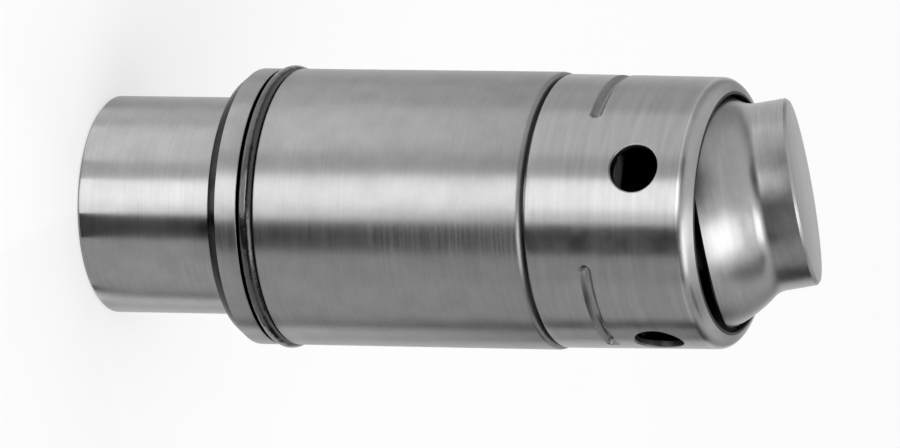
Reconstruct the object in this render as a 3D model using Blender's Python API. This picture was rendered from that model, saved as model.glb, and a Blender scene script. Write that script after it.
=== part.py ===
"""Hydraulic valve lifter that drops into the end of a rocker arm.

The lifter stands on its plunger. Z runs along its axis, from the plunger's end face at
z = 0 up to the swivelling foot that bears on the valve stem. A spring in the pressure
chamber pushes the housing off the plunger, a ball valve between them traps the oil, and
a thin steel cap pressed onto the housing holds the foot on its ball.
"""

from math import asin, atan2, ceil, cos, pi, radians, sin, sqrt, tan

import bmesh
import bpy
from mathutils import Matrix, Vector

MM = 0.001

# Facets round a turned piece, and round the small pieces inside
TURNED_STEPS = 60
INNER_STEPS = 36
SMALL_STEPS = 24
BALL_STEPS = 20
RETURN_SPRING_STEPS = 16
BALL_SPRING_STEPS = 10
ORING_SECTION_STEPS = 10

# Clearances
PLUNGER_CLEARANCE = 0.04 * MM
BALL_JOINT_CLEARANCE = 0.12 * MM
CAP_CLEARANCE = 0.15 * MM
REST_GAP = 0.30 * MM
LOOSE_GAP = 0.10 * MM

# Plunger, in two turned pieces that meet inside the bore
PLUNGER_R = 7.08 * MM
PLUNGER_REACH = 9.67 * MM
PLUNGER_STROKE = 3.00 * MM
PLUNGER_CHAMFER = 0.25 * MM
PLUNGER_WALL = 2.38 * MM
OUTER_PLUNGER_FLOOR = 2.40 * MM
OUTER_PLUNGER_END_LAND = 1.887 * MM
INLET_R = 1.50 * MM
INLET_CHAMFER = 0.40 * MM
RESERVOIR_CORNER = 0.60 * MM
INNER_PLUNGER_LENGTH = 6.20 * MM
VALVE_FLOOR = 2.20 * MM
VALVE_POCKET_DEPTH = 0.90 * MM
VALVE_RIM = 0.78 * MM

# Wire ring that keeps the plunger in
RING_WIRE_R = 0.40 * MM
RING_OPENING = radians(36)

# Ball valve
CHECK_BALL_R = 2.00 * MM
CHECK_BALL_LIFT = 0.30 * MM
CHECK_BALL_PLAY = 0.35 * MM
SEAT_INSIDE = 0.16 * MM
SEAT_OUTSIDE = 0.49 * MM
CAGE_SHEET = 0.40 * MM
CAGE_SIDE_GAP = 0.20 * MM
CAGE_POCKET_R = 1.45 * MM
CAGE_POCKET_HEIGHT = 2.15 * MM
CAGE_VENT_R = 0.60 * MM
CAGE_WINDOWS = 3
CAGE_WINDOW_WIDTH = 1.50 * MM
CAGE_WINDOW_HEIGHT = 1.30 * MM
BALL_SPRING_WIRE_R = 0.14 * MM
BALL_SPRING_PLAY = 0.21 * MM
BALL_SPRING_TURNS = 3.5

# Return spring in the pressure chamber
RETURN_SPRING_WIRE_R = 0.55 * MM
RETURN_SPRING_INSET = 0.40 * MM
RETURN_SPRING_TURNS = 5.0
CHAMBER_SPARE = 2.60 * MM

# Housing, from its mouth up to the shoulder that the cap meets
HOUSING_WALL = 1.88 * MM
LIP_CHAMFER_DEPTH = 0.60 * MM
LIP_CHAMFER_LENGTH = 0.75 * MM
LIP_LAND = 2.20 * MM
MOUTH_CHAMFER = 0.30 * MM
MAIN_LAND = 18.35 * MM
SHOULDER_ROUND = 0.16 * MM
BORE_PAST_SHOULDER = 2.23 * MM
BORE_CORNER = 0.50 * MM

# O-ring and its groove
ORING_SECTION_R = 0.48 * MM
ORING_PROUD = 0.22 * MM
ORING_FLOOR_GAP = 0.26 * MM
ORING_SIDE_GAP = 0.05 * MM
ORING_SIDE_ROOM = 0.14 * MM

# Spigot inside the cap, and the ball on its end
SPIGOT_STEP = 0.71 * MM
SPIGOT_LENGTH = 6.53 * MM
SPIGOT_CHAMFER = 0.35 * MM
BALL_R = 5.20 * MM
BALL_RISE = 1.27 * MM

# Sheet steel cap
CAP_SEAM = 0.30 * MM
CAP_SHEET = 0.42 * MM
CAP_TAPER = 0.08 * MM
CAP_BEND_R = 0.73 * MM
CAP_RIM_SLOPE = radians(24)
CAP_RIM_TURN_IN = 1.11 * MM
CAP_RIM_GAP = 0.146 * MM
CAP_EDGE_ROUND = 0.12 * MM
CAP_HOLE_DROP = 0.27 * MM
CAP_HOLE_R = 1.60 * MM

# Beads pressed through the cap into a groove of the spigot
BEAD_COUNT = 3
BEAD_FIRST_ANGLE = radians(-21)
BEAD_HALF_ANGLE = radians(24)
BEAD_HEIGHT = 3.90 * MM
BEAD_WIDTH = 0.84 * MM
BEAD_DEPTH = 0.38 * MM
BEAD_GROOVE_SIDE_GAP = 0.03 * MM
BEAD_GROOVE_DEPTH = 0.60 * MM

# Swivelling foot
FOOT_SIDE_GAP = 0.16 * MM
FOOT_EDGE_HEIGHT = 1.80 * MM
FOOT_EDGE_CHAMFER = 0.15 * MM
FOOT_CROWN = 2.83 * MM
PAD_R = 6.12 * MM
PAD_CHAMFER = 0.18 * MM
PAD_FILLET_R = 1.50 * MM
TILT_STOP_GAP = 0.172 * MM
FOOT_TILT_TOWARDS = radians(147.7)

# Radii that follow from the sizes above
BORE_R = PLUNGER_R + PLUNGER_CLEARANCE
HOUSING_R = BORE_R + HOUSING_WALL
RESERVOIR_R = PLUNGER_R - PLUNGER_WALL
VALVE_POCKET_R = PLUNGER_R - VALVE_RIM
PORT_R = CHECK_BALL_R / sqrt(2) - SEAT_INSIDE
SEAT_R = CHECK_BALL_R / sqrt(2) + SEAT_OUTSIDE
CAGE_BALL_R = CHECK_BALL_R + CHECK_BALL_PLAY
CAGE_FLANGE_R = VALVE_POCKET_R - CAGE_SIDE_GAP
BALL_SPRING_R = CAGE_POCKET_R - BALL_SPRING_WIRE_R - BALL_SPRING_PLAY
RETURN_SPRING_R = CAGE_FLANGE_R - RETURN_SPRING_WIRE_R - RETURN_SPRING_INSET
SPIGOT_R = HOUSING_R - SPIGOT_STEP
CAP_EDGE_R = SPIGOT_R + CAP_CLEARANCE + CAP_SHEET
CAP_SHOULDER_R = CAP_EDGE_R - CAP_TAPER
CAP_RIM_R = CAP_SHOULDER_R - CAP_RIM_TURN_IN
FOOT_DOME_R = CAP_SHOULDER_R - CAP_SHEET - FOOT_SIDE_GAP
SOCKET_R = BALL_R + BALL_JOINT_CLEARANCE

# Heights in the ball valve above the floor of its pocket. The seat is a cone at
# 45 degrees, and the closed ball stands just clear of it.
CHECK_BALL_HEIGHT = (CHECK_BALL_R + LOOSE_GAP) * sqrt(2) - SEAT_R
BALL_STOP_HEIGHT = (CHECK_BALL_HEIGHT + CHECK_BALL_LIFT + LOOSE_GAP
                    + sqrt(CHECK_BALL_R ** 2 - CAGE_POCKET_R ** 2))
CAGE_ROOF_HEIGHT = BALL_STOP_HEIGHT + CAGE_POCKET_HEIGHT
CHAMBER_LENGTH = (CAGE_ROOF_HEIGHT + CAGE_SHEET - VALVE_POCKET_DEPTH
                  + PLUNGER_STROKE + CHAMBER_SPARE)

# Places along the axis
MOUTH_Z = PLUNGER_REACH
ORING_GROOVE_Z = MOUTH_Z + LIP_LAND
ORING_GROOVE_END_Z = ORING_GROOVE_Z + 2 * ORING_SECTION_R + ORING_SIDE_GAP + ORING_SIDE_ROOM
SHOULDER_Z = ORING_GROOVE_END_Z + MAIN_LAND
BORE_END_Z = SHOULDER_Z + BORE_PAST_SHOULDER
INNER_PLUNGER_END_Z = BORE_END_Z - CHAMBER_LENGTH
INNER_PLUNGER_Z = INNER_PLUNGER_END_Z - INNER_PLUNGER_LENGTH
OUTER_PLUNGER_END_Z = INNER_PLUNGER_Z - REST_GAP
RING_Z = OUTER_PLUNGER_END_Z - OUTER_PLUNGER_END_LAND - LOOSE_GAP - RING_WIRE_R
VALVE_POCKET_Z = INNER_PLUNGER_END_Z - VALVE_POCKET_DEPTH
CHECK_BALL_Z = VALVE_POCKET_Z + CHECK_BALL_HEIGHT
CAGE_Z = VALVE_POCKET_Z + REST_GAP
BALL_STOP_Z = VALVE_POCKET_Z + BALL_STOP_HEIGHT
CAGE_ROOF_Z = VALVE_POCKET_Z + CAGE_ROOF_HEIGHT
CAP_EDGE_Z = SHOULDER_Z + CAP_SEAM
BEAD_Z = CAP_EDGE_Z + BEAD_HEIGHT
SPIGOT_END_Z = SHOULDER_Z + SPIGOT_LENGTH
PIVOT_Z = SPIGOT_END_Z + BALL_RISE
CAP_HOLE_Z = PIVOT_Z - CAP_HOLE_DROP

# The cap's rim just clears the dome, and its bend lies below that
RIM_LOW_Z = PIVOT_Z + sqrt((FOOT_DOME_R + CAP_RIM_GAP) ** 2 - CAP_RIM_R ** 2)
RIM_TOP_Z = RIM_LOW_Z + CAP_SHEET / cos(CAP_RIM_SLOPE)
BEND_ANGLE = pi / 2 - CAP_RIM_SLOPE
BEND_CENTRE_R = CAP_SHOULDER_R - CAP_BEND_R
BEND_END_R = BEND_CENTRE_R + CAP_BEND_R * cos(BEND_ANGLE)
BEND_END_Z = RIM_TOP_Z - (BEND_END_R - CAP_RIM_R) * tan(CAP_RIM_SLOPE)
CAP_SHOULDER_Z = BEND_END_Z - CAP_BEND_R * sin(BEND_ANGLE)

# The foot lies tipped over until the side of its pad meets the rim
RIM_REACH = sqrt(CAP_RIM_R ** 2 + (RIM_TOP_Z - PIVOT_Z) ** 2)
FOOT_TILT = asin(CAP_RIM_R / RIM_REACH) - asin(PAD_R / RIM_REACH) - TILT_STOP_GAP / RIM_REACH


def remove_scene_objects():
    for obj in list(bpy.data.objects):
        bpy.data.objects.remove(obj, do_unlink=True)


def finish(name, colour, roughness, metallic):
    """Principled material for one piece."""
    material = bpy.data.materials.new(name)
    material.use_nodes = True
    shader = material.node_tree.nodes["Principled BSDF"]
    shader.inputs["Base Color"].default_value = (*colour, 1.0)
    shader.inputs["Roughness"].default_value = roughness
    shader.inputs["Metallic"].default_value = metallic
    return material


def add_object(name, mesh, material):
    """Put a mesh in the scene, smooth on its round faces and sharp at its corners."""
    mesh.materials.append(material)
    mesh.shade_smooth()
    mesh.set_sharp_from_angle(angle=radians(28))
    obj = bpy.data.objects.new(name, mesh)
    bpy.context.scene.collection.objects.link(obj)
    return obj


def arc(centre_r, centre_z, radius, start, end, steps):
    """Points along an arc in the turning plane, with angles from the radial direction."""
    points = []
    for i in range(steps + 1):
        angle = start + (end - start) * i / steps
        points.append((centre_r + radius * cos(angle), centre_z + radius * sin(angle)))
    return points


def turned_mesh(name, outline, steps):
    """Spin an outline of (radius, height) points about Z.

    An outline whose ends lie on the axis is left open there, and any other is closed.
    """
    bm = bmesh.new()
    verts = [bm.verts.new((r, 0.0, z)) for r, z in outline]
    pairs = list(zip(verts, verts[1:]))
    if outline[0][0] > 0.0:
        pairs.append((verts[-1], verts[0]))
    edges = [bm.edges.new(pair) for pair in pairs]
    bmesh.ops.spin(bm, geom=verts + edges, cent=(0, 0, 0), axis=(0, 0, 1),
                   angle=2 * pi, steps=steps, use_merge=True)
    bmesh.ops.remove_doubles(bm, verts=bm.verts, dist=0.001 * MM)
    bmesh.ops.recalc_face_normals(bm, faces=bm.faces)
    mesh = bpy.data.meshes.new(name)
    bm.to_mesh(mesh)
    bm.free()
    return mesh


def add_cutter(name, mesh):
    """Wire guide shape that a Boolean takes away from a piece."""
    cutter = bpy.data.objects.new(name, mesh)
    cutter.hide_render = True
    cutter.display_type = "WIRE"
    bpy.context.scene.collection.objects.link(cutter)
    return cutter


def cut(obj, cutter):
    boolean = obj.modifiers.new(cutter.name, "BOOLEAN")
    boolean.operation = "DIFFERENCE"
    boolean.solver = "EXACT"
    boolean.object = cutter


def wire_object(name, points, wire_r, material):
    """Round wire along a run of points, with flat cut ends."""
    curve = bpy.data.curves.new(name, "CURVE")
    curve.dimensions = "3D"
    curve.bevel_depth = wire_r
    curve.bevel_resolution = 1
    curve.use_fill_caps = True
    spline = curve.splines.new("POLY")
    spline.points.add(len(points) - 1)
    for spline_point, point in zip(spline.points, points):
        spline_point.co = (*point, 1.0)
    spline.use_smooth = True
    curve.materials.append(material)
    obj = bpy.data.objects.new(name, curve)
    bpy.context.scene.collection.objects.link(obj)
    return obj


def coil_points(radius, wire_r, low_z, high_z, turns, steps_per_turn):
    """Compression spring between two planes, with nearly closed end turns."""
    closed_turn = 2 * wire_r + LOOSE_GAP
    end_share = 1.0
    length = (high_z - low_z) - 2 * wire_r
    open_pitch = (length - 2 * end_share * closed_turn) / (turns - 2 * end_share)
    points = []
    count = ceil(turns * steps_per_turn)
    for i in range(count + 1):
        turn = turns * i / count
        height = closed_turn * min(turn, end_share)
        height += open_pitch * min(max(turn - end_share, 0.0), turns - 2 * end_share)
        height += closed_turn * max(turn - (turns - end_share), 0.0)
        angle = 2 * pi * turn
        points.append((radius * cos(angle), radius * sin(angle), low_z + wire_r + height))
    return points


def housing_outline():
    """Bore from its closed end down to the mouth, then the outside up to the ball."""
    ring_groove_r = BORE_R + RING_WIRE_R + LOOSE_GAP
    ring_half = RING_WIRE_R + LOOSE_GAP
    oring_floor_r = HOUSING_R + ORING_PROUD - 2 * ORING_SECTION_R - ORING_FLOOR_GAP
    bead_floor_r = SPIGOT_R - BEAD_GROOVE_DEPTH
    bead_floor_half = BEAD_WIDTH / 2 + BEAD_GROOVE_SIDE_GAP
    bead_mouth_half = bead_floor_half + BEAD_GROOVE_DEPTH / 2

    bore = [(0.0, BORE_END_Z)]
    bore += arc(BORE_R - BORE_CORNER, BORE_END_Z - BORE_CORNER, BORE_CORNER, pi / 2, 0.0, 1)
    bore += [
        (BORE_R, RING_Z + ring_half),
        (ring_groove_r, RING_Z + ring_half),
        (ring_groove_r, RING_Z - ring_half),
        (BORE_R, RING_Z - ring_half),
        (BORE_R, MOUTH_Z + MOUTH_CHAMFER),
        (BORE_R + MOUTH_CHAMFER, MOUTH_Z),
    ]
    outside = [
        (HOUSING_R - LIP_CHAMFER_DEPTH, MOUTH_Z),
        (HOUSING_R, MOUTH_Z + LIP_CHAMFER_LENGTH),
        (HOUSING_R, ORING_GROOVE_Z),
        (oring_floor_r, ORING_GROOVE_Z),
        (oring_floor_r, ORING_GROOVE_END_Z),
        (HOUSING_R, ORING_GROOVE_END_Z),
    ]
    outside += arc(HOUSING_R - SHOULDER_ROUND, SHOULDER_Z - SHOULDER_ROUND,
                   SHOULDER_ROUND, 0.0, pi / 2, 2)
    outside += [
        (SPIGOT_R, SHOULDER_Z),
        (SPIGOT_R, BEAD_Z - bead_mouth_half),
        (bead_floor_r, BEAD_Z - bead_floor_half),
        (bead_floor_r, BEAD_Z + bead_floor_half),
        (SPIGOT_R, BEAD_Z + bead_mouth_half),
        (SPIGOT_R, SPIGOT_END_Z - SPIGOT_CHAMFER),
        (SPIGOT_R - SPIGOT_CHAMFER, SPIGOT_END_Z),
    ]
    ball = arc(0.0, PIVOT_Z, BALL_R, -asin(BALL_RISE / BALL_R), pi / 2, 7)
    ball[-1] = (0.0, PIVOT_Z + BALL_R)
    return bore + outside + ball


def outer_plunger_outline():
    """Cup with the oil inlet in its floor and a waist that the wire ring runs in."""
    waist_r = BORE_R - RING_WIRE_R - LOOSE_GAP
    waist_low = RING_Z - RING_WIRE_R - LOOSE_GAP - PLUNGER_STROKE
    waist_high = RING_Z + RING_WIRE_R + LOOSE_GAP
    outline = [
        (INLET_R + INLET_CHAMFER, 0.0),
        (PLUNGER_R - PLUNGER_CHAMFER, 0.0),
        (PLUNGER_R, PLUNGER_CHAMFER),
        (PLUNGER_R, waist_low),
        (waist_r, waist_low),
        (waist_r, waist_high),
        (PLUNGER_R, waist_high),
        (PLUNGER_R, OUTER_PLUNGER_END_Z),
        (RESERVOIR_R, OUTER_PLUNGER_END_Z),
    ]
    outline += arc(RESERVOIR_R - RESERVOIR_CORNER, OUTER_PLUNGER_FLOOR + RESERVOIR_CORNER,
                   RESERVOIR_CORNER, 0.0, -pi / 2, 1)
    outline += [(INLET_R, OUTER_PLUNGER_FLOOR), (INLET_R, INLET_CHAMFER)]
    return outline


def inner_plunger_outline():
    """Cup turned the other way, with the valve port and seat in its floor."""
    floor_z = VALVE_POCKET_Z - VALVE_FLOOR
    outline = [
        (RESERVOIR_R, INNER_PLUNGER_Z),
        (PLUNGER_R, INNER_PLUNGER_Z),
        (PLUNGER_R, INNER_PLUNGER_END_Z - PLUNGER_CHAMFER),
        (PLUNGER_R - PLUNGER_CHAMFER, INNER_PLUNGER_END_Z),
        (VALVE_POCKET_R, INNER_PLUNGER_END_Z),
        (VALVE_POCKET_R, VALVE_POCKET_Z),
        (SEAT_R, VALVE_POCKET_Z),
        (PORT_R, VALVE_POCKET_Z - (SEAT_R - PORT_R)),
        (PORT_R, floor_z),
    ]
    outline += arc(RESERVOIR_R - RESERVOIR_CORNER, floor_z - RESERVOIR_CORNER,
                   RESERVOIR_CORNER, pi / 2, 0.0, 1)
    return outline


def cage_outline():
    """Pressed sheet cup over the check ball, with a narrow pocket for the ball's spring."""
    flange_top = CAGE_Z + CAGE_SHEET
    step_top = BALL_STOP_Z + CAGE_SHEET
    roof_top = CAGE_ROOF_Z + CAGE_SHEET
    return [
        (CAGE_BALL_R, CAGE_Z),
        (CAGE_FLANGE_R, CAGE_Z),
        (CAGE_FLANGE_R, flange_top),
        (CAGE_BALL_R + CAGE_SHEET, flange_top),
        (CAGE_BALL_R + CAGE_SHEET, step_top),
        (CAGE_POCKET_R + CAGE_SHEET, step_top),
        (CAGE_POCKET_R + CAGE_SHEET, roof_top),
        (CAGE_VENT_R, roof_top),
        (CAGE_VENT_R, CAGE_ROOF_Z),
        (CAGE_POCKET_R, CAGE_ROOF_Z),
        (CAGE_POCKET_R, BALL_STOP_Z),
        (CAGE_BALL_R, BALL_STOP_Z),
    ]


def cap_wall_r(z):
    """Outer radius of the cap's slightly tapered wall."""
    share = (z - CAP_EDGE_Z) / (CAP_SHOULDER_Z - CAP_EDGE_Z)
    return CAP_EDGE_R - CAP_TAPER * share


def cap_outline():
    """Drawn cup, open at the bottom, whose top is turned in to hold the foot."""
    bead_levels = [BEAD_Z + BEAD_WIDTH * share for share in (-0.5, -0.25, 0.0, 0.25, 0.5)]
    outside = arc(CAP_EDGE_R - CAP_EDGE_ROUND, CAP_EDGE_Z + CAP_EDGE_ROUND,
                  CAP_EDGE_ROUND, -pi / 2, 0.0, 2)
    outside += [(cap_wall_r(z), z) for z in bead_levels]
    outside += arc(BEND_CENTRE_R, CAP_SHOULDER_Z, CAP_BEND_R, 0.0, BEND_ANGLE, 4)
    outside.append((CAP_RIM_R, RIM_TOP_Z))
    inside = [(CAP_RIM_R, RIM_LOW_Z)]
    inside += arc(BEND_CENTRE_R, CAP_SHOULDER_Z, CAP_BEND_R - CAP_SHEET, BEND_ANGLE, 0.0, 2)
    inside += [(cap_wall_r(z) - CAP_SHEET, z) for z in reversed(bead_levels)]
    inside.append((CAP_EDGE_R - CAP_SHEET, CAP_EDGE_Z))
    return outside + inside


def press_beads(mesh):
    """Push the cap's wall inwards along each bead, deepest at the middle of its width."""
    for vert in mesh.vertices:
        across = abs(vert.co.z - BEAD_Z) / (BEAD_WIDTH / 2)
        if across >= 1.0:
            continue
        angle = atan2(vert.co.y, vert.co.x)
        for i in range(BEAD_COUNT):
            centre = BEAD_FIRST_ANGLE + 2 * pi * i / BEAD_COUNT
            along = abs((angle - centre + pi) % (2 * pi) - pi)
            if along <= BEAD_HALF_ANGLE:
                radius = vert.co.xy.length
                depth = BEAD_DEPTH * cos(across * pi / 2)
                vert.co.xy *= (radius - depth) / radius


def foot_outline():
    """Pad with a hollow fillet into a dome, and a round socket for the ball underneath."""
    fillet_height = sqrt((FOOT_DOME_R + PAD_FILLET_R) ** 2 - (PAD_R + PAD_FILLET_R) ** 2)
    fillet_end = atan2(fillet_height, PAD_R + PAD_FILLET_R)
    edge_angle = asin(FOOT_EDGE_HEIGHT / FOOT_DOME_R)
    chamfer_angle = FOOT_EDGE_CHAMFER / FOOT_DOME_R
    face_height = SOCKET_R + FOOT_CROWN

    outline = [(0.0, face_height), (PAD_R - PAD_CHAMFER, face_height)]
    outline.append((PAD_R, face_height - PAD_CHAMFER))
    outline += arc(PAD_R + PAD_FILLET_R, fillet_height, PAD_FILLET_R, pi, pi + fillet_end, 4)
    dome = arc(0.0, 0.0, FOOT_DOME_R, fillet_end, edge_angle + chamfer_angle, 4)
    outline += dome[1:]
    edge_r = FOOT_DOME_R * cos(edge_angle)
    outline.append((edge_r - FOOT_EDGE_CHAMFER, FOOT_EDGE_HEIGHT))
    socket = arc(0.0, 0.0, SOCKET_R, asin(FOOT_EDGE_HEIGHT / SOCKET_R), pi / 2, 5)
    socket[-1] = (0.0, SOCKET_R)
    return outline + socket


def build_housing():
    steel = finish("ground_steel_housing", (0.50, 0.50, 0.50), 0.30, 1.0)
    return add_object("housing", turned_mesh("housing", housing_outline(), TURNED_STEPS), steel)


def build_oring():
    """Rubber ring that lies against the upper side of its groove."""
    centre_r = HOUSING_R + ORING_PROUD - ORING_SECTION_R
    centre_z = ORING_GROOVE_END_Z - ORING_SIDE_GAP - ORING_SECTION_R
    section = arc(centre_r, centre_z, ORING_SECTION_R, 0.0, 2 * pi, ORING_SECTION_STEPS)[:-1]
    rubber = finish("black_rubber", (0.012, 0.012, 0.013), 0.35, 0.0)
    return add_object("o_ring", turned_mesh("o_ring", section, TURNED_STEPS), rubber)


def build_plunger():
    outer_steel = finish("ground_steel_outer_plunger", (0.52, 0.52, 0.52), 0.28, 1.0)
    inner_steel = finish("ground_steel_inner_plunger", (0.52, 0.52, 0.52), 0.30, 1.0)
    outer_mesh = turned_mesh("outer_plunger", outer_plunger_outline(), TURNED_STEPS)
    inner_mesh = turned_mesh("inner_plunger", inner_plunger_outline(), INNER_STEPS)
    add_object("outer_plunger", outer_mesh, outer_steel)
    add_object("inner_plunger", inner_mesh, inner_steel)


def build_retaining_ring():
    """Open wire ring, half in the housing's groove and half in the plunger's waist."""
    sweep = 2 * pi - RING_OPENING
    points = []
    for i in range(INNER_STEPS + 1):
        angle = RING_OPENING / 2 + sweep * i / INNER_STEPS
        points.append((BORE_R * cos(angle), BORE_R * sin(angle), RING_Z))
    steel = finish("spring_steel_ring", (0.30, 0.30, 0.31), 0.40, 1.0)
    return wire_object("plunger_retaining_ring", points, RING_WIRE_R, steel)


def build_check_valve():
    """Ball, its light spring, and the sheet cage that holds both on the seat."""
    ball_steel = finish("polished_steel_ball", (0.60, 0.60, 0.60), 0.12, 1.0)
    bm = bmesh.new()
    bmesh.ops.create_uvsphere(bm, u_segments=BALL_STEPS, v_segments=BALL_STEPS // 2,
                              radius=CHECK_BALL_R)
    ball_mesh = bpy.data.meshes.new("check_ball")
    bm.to_mesh(ball_mesh)
    bm.free()
    ball = add_object("check_ball", ball_mesh, ball_steel)
    ball.location.z = CHECK_BALL_Z

    spring_low = CHECK_BALL_Z + sqrt(CHECK_BALL_R ** 2 - BALL_SPRING_R ** 2) + LOOSE_GAP
    spring_points = coil_points(BALL_SPRING_R, BALL_SPRING_WIRE_R, spring_low,
                                CAGE_ROOF_Z - LOOSE_GAP, BALL_SPRING_TURNS,
                                BALL_SPRING_STEPS)
    spring_steel = finish("spring_steel_ball_spring", (0.32, 0.32, 0.33), 0.35, 1.0)
    wire_object("check_ball_spring", spring_points, BALL_SPRING_WIRE_R, spring_steel)

    cage_steel = finish("pressed_steel_cage", (0.45, 0.45, 0.45), 0.40, 1.0)
    cage = add_object("check_ball_cage",
                      turned_mesh("check_ball_cage", cage_outline(), SMALL_STEPS), cage_steel)
    window_z = (CAGE_Z + CAGE_SHEET + BALL_STOP_Z) / 2
    reach = CAGE_BALL_R + 2 * CAGE_SHEET
    for i in range(CAGE_WINDOWS):
        bm = bmesh.new()
        bmesh.ops.create_cube(bm, size=1.0)
        bmesh.ops.scale(bm, vec=(reach, CAGE_WINDOW_WIDTH, CAGE_WINDOW_HEIGHT), verts=bm.verts)
        bmesh.ops.translate(bm, vec=(reach / 2, 0.0, 0.0), verts=bm.verts)
        window_mesh = bpy.data.meshes.new("cage_window")
        bm.to_mesh(window_mesh)
        bm.free()
        window = add_cutter(f"cage_window_{i + 1}", window_mesh)
        window.location.z = window_z
        window.rotation_euler.z = 2 * pi * i / CAGE_WINDOWS
        cut(cage, window)


def build_return_spring():
    low_z = CAGE_Z + CAGE_SHEET + LOOSE_GAP
    points = coil_points(RETURN_SPRING_R, RETURN_SPRING_WIRE_R, low_z,
                         BORE_END_Z - LOOSE_GAP, RETURN_SPRING_TURNS,
                         RETURN_SPRING_STEPS)
    steel = finish("spring_steel_return_spring", (0.32, 0.32, 0.33), 0.35, 1.0)
    return wire_object("return_spring", points, RETURN_SPRING_WIRE_R, steel)


def build_cap():
    """Turned cup, beaded into the spigot's groove and pierced with two cross holes."""
    steel = finish("sheet_steel_cap", (0.55, 0.55, 0.55), 0.28, 1.0)
    mesh = turned_mesh("retaining_cap", cap_outline(), TURNED_STEPS)
    press_beads(mesh)
    cap = add_object("retaining_cap", mesh, steel)
    for axis in ("X", "Y"):
        bm = bmesh.new()
        bmesh.ops.create_cone(bm, cap_ends=True, segments=SMALL_STEPS, radius1=CAP_HOLE_R,
                              radius2=CAP_HOLE_R, depth=2 * (CAP_EDGE_R + CAP_SHEET))
        hole_mesh = bpy.data.meshes.new(f"cap_hole_{axis.lower()}")
        bm.to_mesh(hole_mesh)
        bm.free()
        across = "Y" if axis == "X" else "X"
        hole_mesh.transform(Matrix.Rotation(pi / 2, 4, across))
        hole = add_cutter(hole_mesh.name, hole_mesh)
        hole.location.z = CAP_HOLE_Z
        cut(cap, hole)
    return cap


def build_foot():
    """The foot's own origin is the ball's centre, and it rests tipped over against the rim."""
    steel = finish("polished_steel_foot", (0.58, 0.58, 0.58), 0.22, 1.0)
    foot = add_object("swivel_foot",
                      turned_mesh("swivel_foot", foot_outline(), TURNED_STEPS), steel)
    tip_axis = Vector((-sin(FOOT_TILT_TOWARDS), cos(FOOT_TILT_TOWARDS), 0.0))
    foot.location.z = PIVOT_Z
    foot.rotation_euler = Matrix.Rotation(FOOT_TILT, 3, tip_axis).to_euler()
    return foot


def main():
    remove_scene_objects()
    build_housing()
    build_oring()
    build_plunger()
    build_retaining_ring()
    build_check_valve()
    build_return_spring()
    build_cap()
    build_foot()


main()
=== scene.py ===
"""Looks of the hydraulic valve lifter: finely turned pieces, their finishes, and the studio."""

from math import asin, atan2, cos, pi, radians, sin, sqrt, tan

import bmesh
import bpy
from mathutils import Matrix, Vector


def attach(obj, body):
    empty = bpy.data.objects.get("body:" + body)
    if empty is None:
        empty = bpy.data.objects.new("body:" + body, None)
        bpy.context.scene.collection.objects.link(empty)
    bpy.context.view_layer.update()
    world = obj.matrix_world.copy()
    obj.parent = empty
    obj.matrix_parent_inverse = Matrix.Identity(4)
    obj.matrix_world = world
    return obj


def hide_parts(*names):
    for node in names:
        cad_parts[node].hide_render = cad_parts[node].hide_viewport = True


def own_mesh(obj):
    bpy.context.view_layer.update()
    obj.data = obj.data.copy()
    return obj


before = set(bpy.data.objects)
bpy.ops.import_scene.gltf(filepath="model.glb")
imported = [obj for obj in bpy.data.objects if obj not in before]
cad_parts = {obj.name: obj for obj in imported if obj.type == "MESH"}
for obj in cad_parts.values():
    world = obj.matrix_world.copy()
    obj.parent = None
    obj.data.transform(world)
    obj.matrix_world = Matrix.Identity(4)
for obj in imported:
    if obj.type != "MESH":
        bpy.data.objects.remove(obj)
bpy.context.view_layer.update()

MM = 0.001

# Steps of a full turn: of the turned pieces, of the cap and of the peg that cuts its holes
TURNED_STEPS = 240
CAP_STEPS = 480
HOLE_STEPS = 72

# Steps of the arcs in a section
BALL_STEPS = 24
SOCKET_STEPS = 16
DOME_STEPS = 20
PAD_FILLET_STEPS = 12
RING_SECTION_STEPS = 28
CAP_BEND_STEPS = 10
HOLE_FLARE_STEPS = 4

# Points of one mesh closer than this are merged
SAME_POINT = 0.0005 * MM
SHARP_ANGLE = radians(34)

# Plunger
PLUNGER_R = 7.08 * MM
PLUNGER_CHAMFER = 0.25 * MM
PLUNGER_WAIST_R = 6.62 * MM
PLUNGER_WAIST_Z = 11.1199 * MM
PLUNGER_WAIST_END_Z = 15.1199 * MM
OUTER_PLUNGER_END_Z = 17.0069 * MM
OUTER_PLUNGER_FLOOR = 2.40 * MM
RESERVOIR_R = 4.70 * MM
RESERVOIR_CORNER = 0.60 * MM
INLET_R = 1.50 * MM
INLET_CHAMFER = 0.40 * MM

# Housing
HOUSING_R = 9.00 * MM
BORE_R = 7.12 * MM
BORE_END_Z = 33.60 * MM
BORE_CORNER = 0.50 * MM
RING_GROOVE_R = 7.62 * MM
RING_GROOVE_Z = 14.1199 * MM
RING_GROOVE_END_Z = 15.1199 * MM
MOUTH_Z = 9.67 * MM
MOUTH_CHAMFER = 0.30 * MM
LIP_CHAMFER_DEPTH = 0.60 * MM
LIP_CHAMFER_LENGTH = 0.75 * MM
ORING_GROOVE_Z = 11.87 * MM
ORING_GROOVE_END_Z = 13.02 * MM
ORING_FLOOR_R = 8.00 * MM
ORING_GROOVE_ROUND = 0.13 * MM
SHOULDER_Z = 31.37 * MM
SHOULDER_ROUND = 0.30 * MM
SPIGOT_R = 8.29 * MM
SPIGOT_END_Z = 37.90 * MM
SPIGOT_CHAMFER = 0.35 * MM
BEAD_GROOVE_R = 7.69 * MM
BEAD_GROOVE_HALF = 0.45 * MM
BEAD_GROOVE_MOUTH_HALF = 0.75 * MM
BALL_R = 5.20 * MM
PIVOT_Z = 39.17 * MM

# O-ring
ORING_R = 8.74 * MM
ORING_Z = 12.49 * MM
ORING_SECTION_R = 0.48 * MM

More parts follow.
